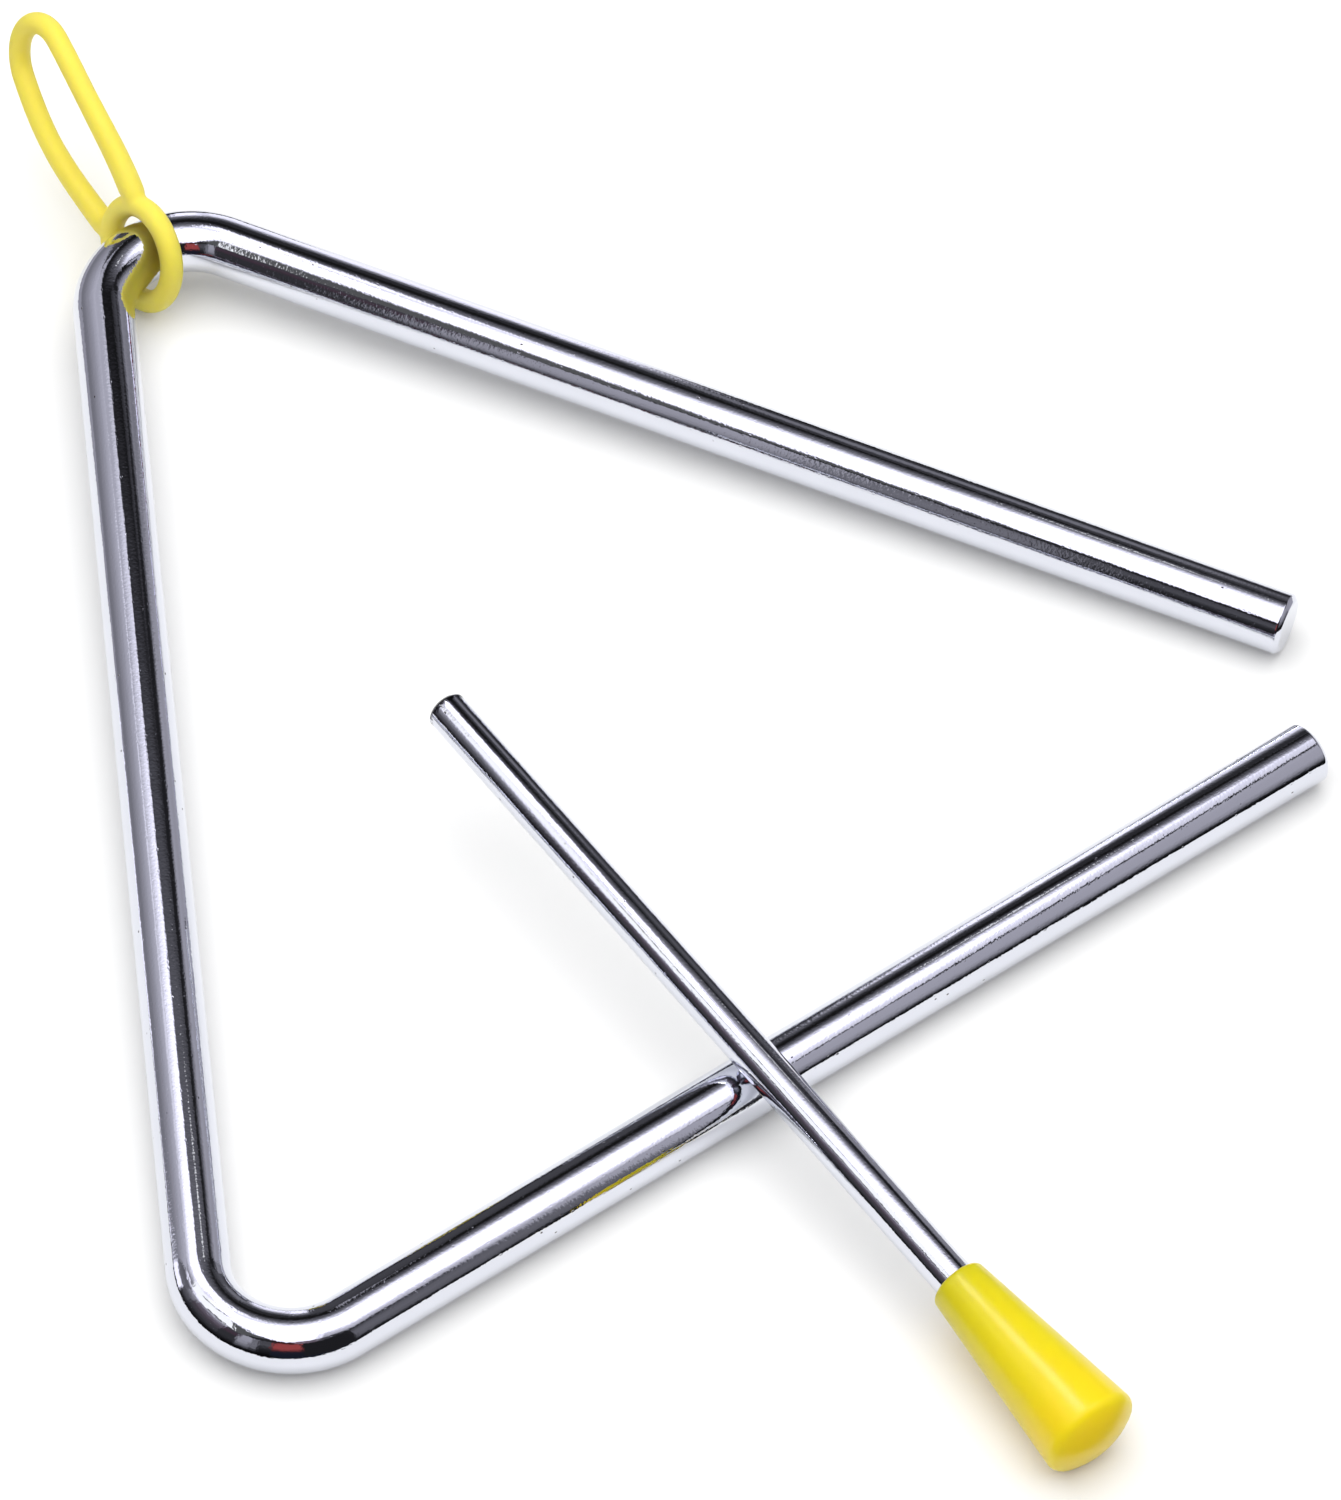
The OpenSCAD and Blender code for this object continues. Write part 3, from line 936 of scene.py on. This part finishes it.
# How the softbox dims towards the left, the back, the front and the right
DIM_LEFT = [(-1.0, 0.26), (-0.80, 0.30), (-0.66, 0.60), (-0.50, 1.20), (-0.42, 1.9)]
DIM_BACK = [(0.54, 1.9), (0.62, 1.50), (0.68, 1.12), (0.74, 0.90), (0.80, 0.62), (1.0, 0.60)]
DIM_BACK_RIGHT = [(0.18, 1.9), (0.26, 1.25), (0.34, 0.60), (0.42, 0.28), (0.50, 0.17),
                  (0.60, 0.10), (0.68, 0.04), (0.76, 0.012), (1.0, 0.012)]
DIM_FRONT = [(-0.90, 0.04), (-0.80, 0.25), (-0.70, 0.62), (-0.52, 0.95), (-0.40, 1.9)]
DIM_RIGHT = [(0.54, 1.9), (0.62, 1.20), (0.76, 0.95)]
BEYOND_RIGHT = [(0.82, 0.55), (1.0, 0.60)]
# Tint of all the panels, and the cloth where none of them hangs
TENT_TINT = (0.97, 0.95, 1.07)
BARE_WALL = 0.02
BARE_CEILING = 0.012
# Brightness of the lamp tube behind the softbox cloth, which draws the streak along the grip
LAMP_TUBE = 24.0


def tent_walls(tree, bearing, height):
    """Pale, dark and red panels round the table, as the lower bands of the chrome show them."""
    colour = BARE_WALL
    for low, high, stops in WALL_PANELS:
        panel = ramp(tree, height, stops, SOFTBOX_HEIGHT)
        hung = soft_window(tree, bearing, low, high, PANEL_BLUR)
        colour = blend_colours(tree, hung, colour, panel)
    return blend_colours(tree, 1.0, colour, TENT_TINT, "MULTIPLY")


def ceiling_ramp(tree, value, stops):
    """A ramp over the ceiling between its first and its last place, tinted."""
    first, last = stops[0][0], stops[-1][0]
    colour = ramp(tree, value, stops, last - first, first)
    return blend_colours(tree, 1.0, colour, TENT_TINT, "MULTIPLY")


def tent_ceiling(tree, x, y):
    """The softbox with its dim edges, and the grey, dark and red things round it."""
    turn_x, turn_y = math.cos(SOFTBOX_TURN), math.sin(SOFTBOX_TURN)
    across = math_node(tree, "ADD", math_node(tree, "MULTIPLY", x, turn_x),
                       math_node(tree, "MULTIPLY", y, turn_y))
    back = math_node(tree, "SUBTRACT", math_node(tree, "MULTIPLY", y, turn_x),
                     math_node(tree, "MULTIPLY", x, turn_y))
    over_beam = math_node(tree, "SUBTRACT", back, across)
    along_front = math_node(tree, "MULTIPLY_ADD", back, 0.5, across)
    along_seam = math_node(tree, "MULTIPLY_ADD", across, 1.2, back)

    light = blend_colours(tree, 1.0, ceiling_ramp(tree, across, DIM_RIGHT),
                          ceiling_ramp(tree, back, DIM_BACK_RIGHT), "DARKEN")
    light = blend_colours(tree, smooth_range(tree, across, 0.05, 0.20), light,
                          ceiling_ramp(tree, back, DIM_FRONT), "DARKEN")
    in_left = (across, -0.42, -0.48)
    off_left = (across, -0.52, -0.42)
    patches = (
        # the things beyond the softbox's right edge
        (within(tree, (across, 0.81, 0.85), (back, 0.22, 0.10)),
         ceiling_ramp(tree, across, BEYOND_RIGHT)),
        # the grey left side, its two bright windows and its dim back
        (within(tree, in_left), 0.13),
        (within(tree, in_left, (over_beam, 0.37, 0.43), (across, -0.90, -0.86)), 1.5),
        (within(tree, in_left, (back, 0.01, 0.04)), 1.5),
        (within(tree, (across, -0.40, -0.46), (back, 0.34, 0.42)),
         ceiling_ramp(tree, across, DIM_LEFT)),
        # the dark front, the softbox itself and its dim left back
        (within(tree, (back, -0.56, -0.64)), ceiling_ramp(tree, across, CEILING_FRONT)),
        (within(tree, off_left, (along_front, -0.73, -0.65), (across, 0.78, 0.75),
                (back, -0.86, -0.76), (back, 0.80, 0.76)), light),
        (within(tree, off_left, (across, 0.04, -0.04), (back, 0.26, 0.34)),
         ceiling_ramp(tree, back, DIM_BACK)),
        # a small bright patch at the right back, a dark seam and the lamp tube
        (within(tree, (across, 0.33, 0.36), (across, 0.43, 0.40), (back, 0.46, 0.48),
                (back, 0.53, 0.51)), 1.2),
        (within(tree, (along_seam, -0.55, -0.51), (along_seam, -0.45, -0.49), (back, -0.02, 0.03),
                (back, 0.26, 0.20)), 0.12),
        (within(tree, (across, -0.25, -0.22), (across, -0.15, -0.18), (back, 0.18, 0.24),
                (back, 0.53, 0.49)), LAMP_TUBE),
    )
    colour = BARE_CEILING
    for share, patch in patches:
        colour = blend_colours(tree, share, colour, patch)
    return colour


def tent_glow(tree):
    """Colour of the light tent, by the place on its walls and ceiling."""
    where = add_node(tree, "ShaderNodeTexCoord")
    axes = add_node(tree, "ShaderNodeSeparateXYZ")
    tree.links.new(where.outputs["Object"], axes.inputs[0])
    x, y, z = axes.outputs
    bearing = math_node(tree, "MULTIPLY", math_node(tree, "ARCTAN2", y, x), math.degrees(1))
    overhead = math_node(tree, "GREATER_THAN", z, SOFTBOX_HEIGHT - MM)
    return blend_colours(tree, overhead, tent_walls(tree, bearing, z), tent_ceiling(tree, x, y))


def set_tent(studio):
    """The light tent with its dark lip on the table, which only the reflections show."""
    bm = bmesh.new()
    made = bmesh.ops.create_circle(bm, cap_ends=True, segments=TENT_STEPS, radius=TENT_RADIUS)
    bmesh.ops.translate(bm, verts=made["verts"], vec=UP * SOFTBOX_HEIGHT)
    rim = draw_out(bm, bm.edges[:], -UP * (SOFTBOX_HEIGHT - LIP_HEIGHT))
    shrink_ring(bm, draw_out(bm, rim, Vector()), LIP_RADIUS / TENT_RADIUS)
    tent = put_in_scene("light_tent", bm)
    material = bpy.data.materials.new("tent_cloth")
    tree, output = bare_tree(material, "ShaderNodeOutputMaterial")
    glow = add_node(tree, "ShaderNodeEmission", {"Strength": TENT_STRENGTH})
    shown = blend_colours(tree, seen_first_hand(tree), studio.fill, tent_glow(tree))
    tree.links.new(shown, glow.inputs["Color"])
    tree.links.new(glow.outputs[0], output.inputs["Surface"])
    tent.data.materials.append(material)
    for kind in ("camera", "diffuse", "shadow", "transmission", "volume_scatter"):
        setattr(tent, "visible_" + kind, False)


class TRIANGLE_OT_bar(bpy.types.Operator):
    """Bend the chromed bar of the triangle"""

    bl_idname = "triangle.bar"
    bl_label = "Triangle bar"

    def execute(self, context):
        settings = context.scene.triangle_settings
        build_bar(settings, Layout(settings))
        return {"FINISHED"}


class TRIANGLE_OT_finger_loop(bpy.types.Operator):
    """Mould the finger loop with its ring"""

    bl_idname = "triangle.finger_loop"
    bl_label = "Finger loop"

    def execute(self, context):
        settings = context.scene.triangle_settings
        build_loop(settings, Layout(settings))
        return {"FINISHED"}


class TRIANGLE_OT_beater_rod(bpy.types.Operator):
    """Turn the beater's plated rod"""

    bl_idname = "triangle.beater_rod"
    bl_label = "Beater rod"

    def execute(self, context):
        settings = context.scene.triangle_settings
        build_rod(settings, Layout(settings))
        return {"FINISHED"}


class TRIANGLE_OT_beater_grip(bpy.types.Operator):
    """Turn the beater's plastic grip"""

    bl_idname = "triangle.beater_grip"
    bl_label = "Beater grip"

    def execute(self, context):
        settings = context.scene.triangle_settings
        build_grip(settings, Layout(settings))
        return {"FINISHED"}


class TRIANGLE_OT_stage(bpy.types.Operator):
    """Set the table, the light and the camera"""

    bl_idname = "triangle.stage"
    bl_label = "Stage"

    def execute(self, context):
        studio = context.scene.triangle_settings.studio
        context.scene.view_settings.view_transform = "Standard"
        set_floor()
        set_world(studio)
        set_softbox(studio)
        set_tent(studio)
        set_camera(studio)
        return {"FINISHED"}


OPERATORS = (TRIANGLE_OT_bar, TRIANGLE_OT_finger_loop, TRIANGLE_OT_beater_rod,
             TRIANGLE_OT_beater_grip, TRIANGLE_OT_stage)


class TRIANGLE_PT_panel(bpy.types.Panel):
    """Sizes, colours and builders of the triangle"""

    bl_label = "Triangle"
    bl_idname = "TRIANGLE_PT_panel"
    bl_space_type = "VIEW_3D"
    bl_region_type = "UI"
    bl_category = "Triangle"

    def draw(self, context):
        settings = context.scene.triangle_settings
        for group in (settings.bar, settings.loop, settings.beater, settings.studio):
            box = self.layout.box()
            for name in group.bl_rna.properties.keys():
                if name not in ("rna_type", "name"):
                    box.prop(group, name)
        for operator in OPERATORS:
            self.layout.operator(operator.bl_idname)


CLASSES = (TriangleBarSizes, FingerLoopSizes, BeaterSizes, StudioSettings, TriangleSettings,
           *OPERATORS, TRIANGLE_PT_panel)


def register():
    for cls in CLASSES:
        bpy.utils.register_class(cls)
    bpy.types.Scene.triangle_settings = PointerProperty(type=TriangleSettings)


def unregister():
    del bpy.types.Scene.triangle_settings
    for cls in reversed(CLASSES):
        bpy.utils.unregister_class(cls)


def main():
    """Registers the add-on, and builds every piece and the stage."""
    register()
    bpy.ops.triangle.bar()
    bpy.ops.triangle.finger_loop()
    bpy.ops.triangle.beater_rod()
    bpy.ops.triangle.beater_grip()
    bpy.ops.triangle.stage()


if __name__ == "__main__":
    main()
